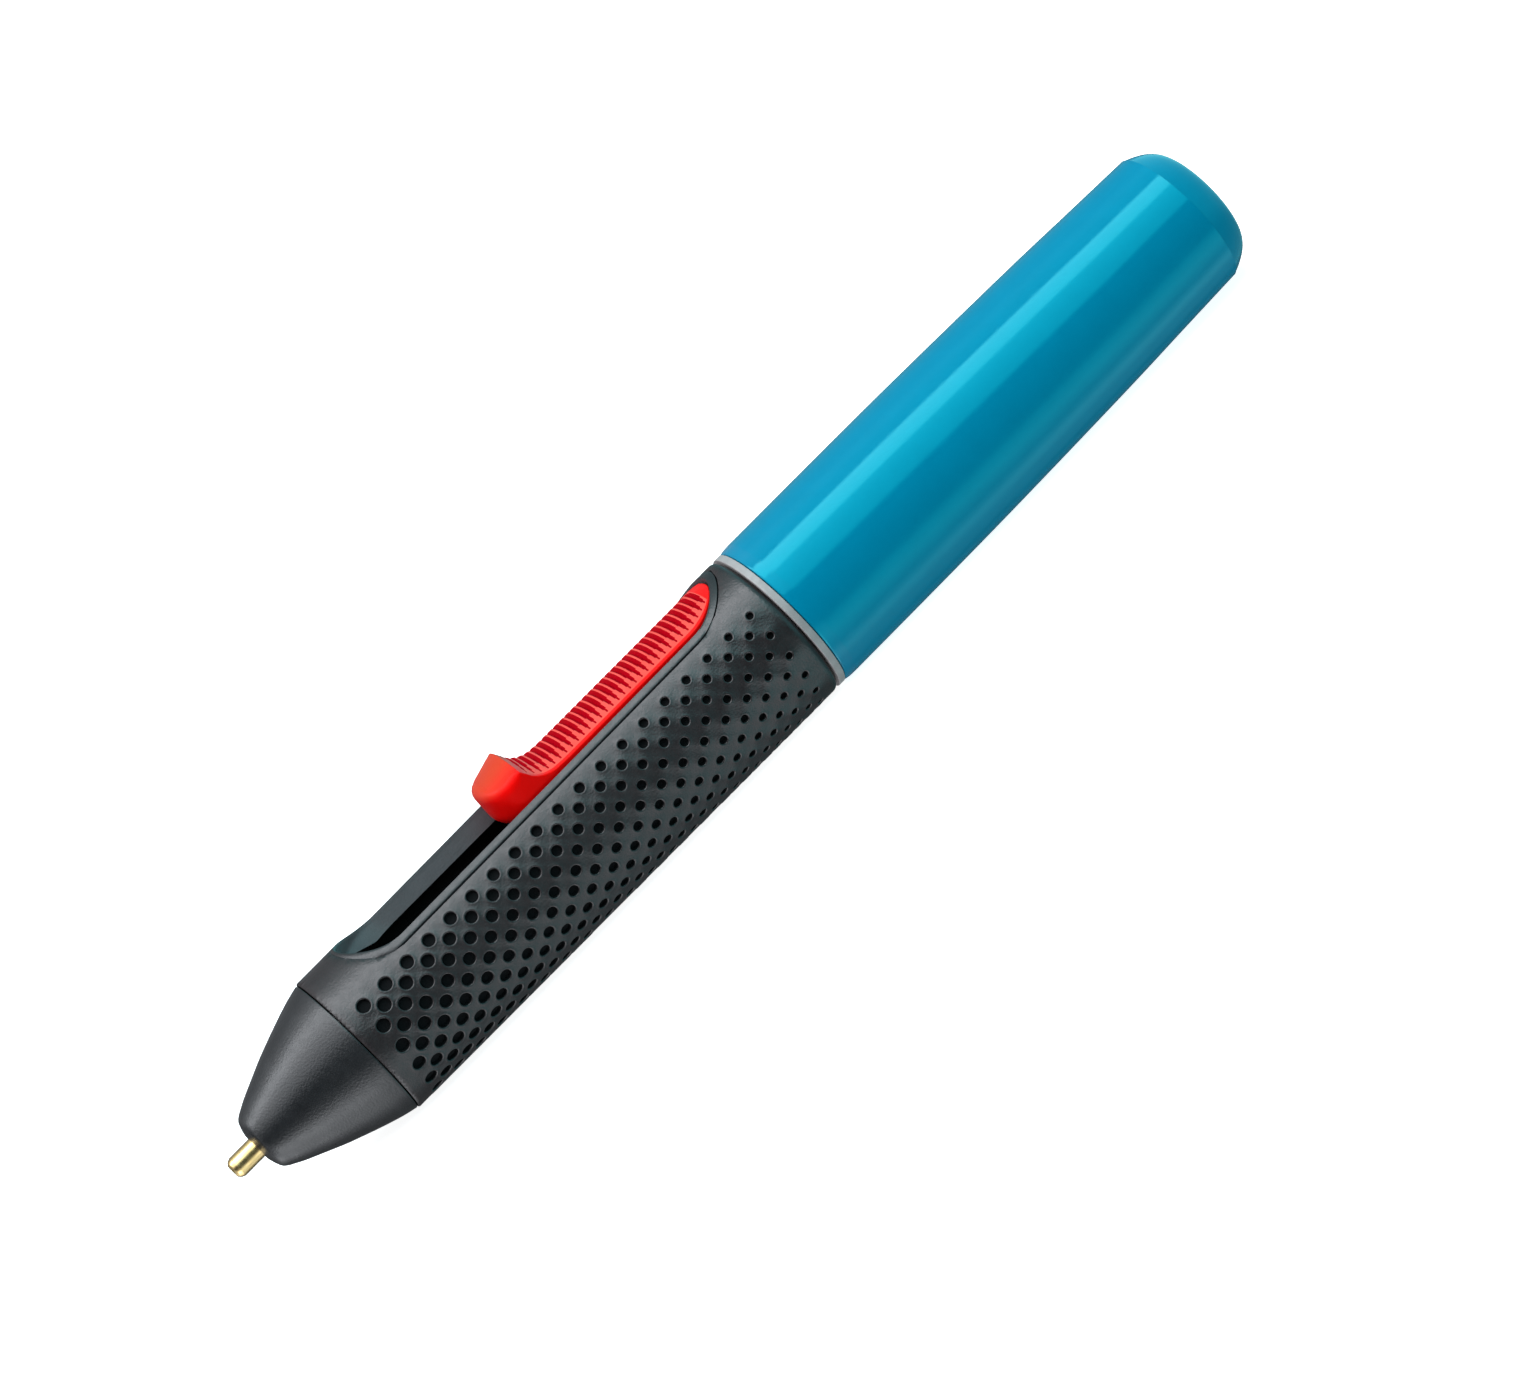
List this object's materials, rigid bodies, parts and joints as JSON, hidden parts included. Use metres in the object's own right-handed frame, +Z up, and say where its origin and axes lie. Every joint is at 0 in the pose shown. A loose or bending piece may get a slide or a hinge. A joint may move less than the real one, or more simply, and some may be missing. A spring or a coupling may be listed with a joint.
{
  "type": "cordless glue pen",
  "caption": "Pen-shaped cordless hot-melt glue applicator with a thumb slider in a loading slot, a dimpled grip, a metal nozzle and a pull-off battery cap.",
  "frame": {"origin": "middle of the rest plane: the flat along the underside, below the middle of the overall length", "axes": "+X along the pen from nozzle to battery cap, +Z up through the thumb slider, +Y to the right of a hand that points the nozzle away"},
  "size_m": [0.1966, 0.0254, 0.028],
  "materials": {
    "soft_grip": "matte moulded, dimpled",
    "hard_shell": "fine-textured satin",
    "inner_plastic": "moulded, plain",
    "slider_red": "moulded satin-gloss, ribbed",
    "cap_blue": "glossy moulded",
    "brass": "turned",
    "aluminium": "cast, machined bore",
    "steel": "nickel-plated",
    "trim": "satin plated",
    "silicone": "matte",
    "ceramic": "glazed",
    "board": "solder-masked",
    "seal": "smooth",
    "cell_wrap": "heat-shrunk film",
    "light_pipe": "clear moulded",
    "lead_red": "insulated lead",
    "lead_black": "insulated lead"
  },
  "bodies": {
    "pen_body": {"nozzle_tip": "brass", "nozzle_cone": "hard_shell", "melt_barrel": "aluminium", "inlet_sleeve": "silicone", "ptc_heater": "ceramic", "heater_clip": "steel", "thermal_fuse": "steel", "heater_lead_1": "lead_red", "heater_lead_2": "lead_red", "housing_left": "inner_plastic", "housing_right": "inner_plastic", "grip_sleeve": "soft_grip", "slot_frame": "hard_shell", "control_board": "board", "board_screw_1": "steel", "board_screw_2": "steel", "tact_switch": "steel", "charging_socket": "steel", "status_led": "ceramic", "light_pipe": "light_pipe", "control_panel": "inner_plastic", "trim_ring": "trim", "seal_ring": "seal", "battery_tube": "inner_plastic", "battery_cell_front": "cell_wrap", "battery_cell_rear": "cell_wrap", "front_contact": "steel", "return_strip": "steel", "battery_lead_positive": "lead_red", "battery_lead_negative": "lead_black"},
    "slider": {"slider": "slider_red", "pusher": "inner_plastic", "pusher_pad": "silicone", "pusher_screw": "steel"},
    "button": {"power_button": "slider_red"},
    "cap": {"battery_cap": "cap_blue", "cap_contact": "steel", "cell_spring": "steel"}
  },
  "joints": [
    {"name": "slider_slide", "type": "slide", "parent": "pen_body", "child": "slider", "axis": [-1, 0, 0], "range_m": [0, 0.025]},
    {"name": "power_press", "type": "slide", "parent": "pen_body", "child": "button", "axis": [0, 0, 1], "range_m": [0, 0.0004], "stiffness_N_per_m": 500, "springref_m": -0.0006},
    {"name": "cap_pull", "type": "slide", "parent": "pen_body", "child": "cap", "axis": [1, 0, 0], "range_m": [0, 0.085]}
  ]
}
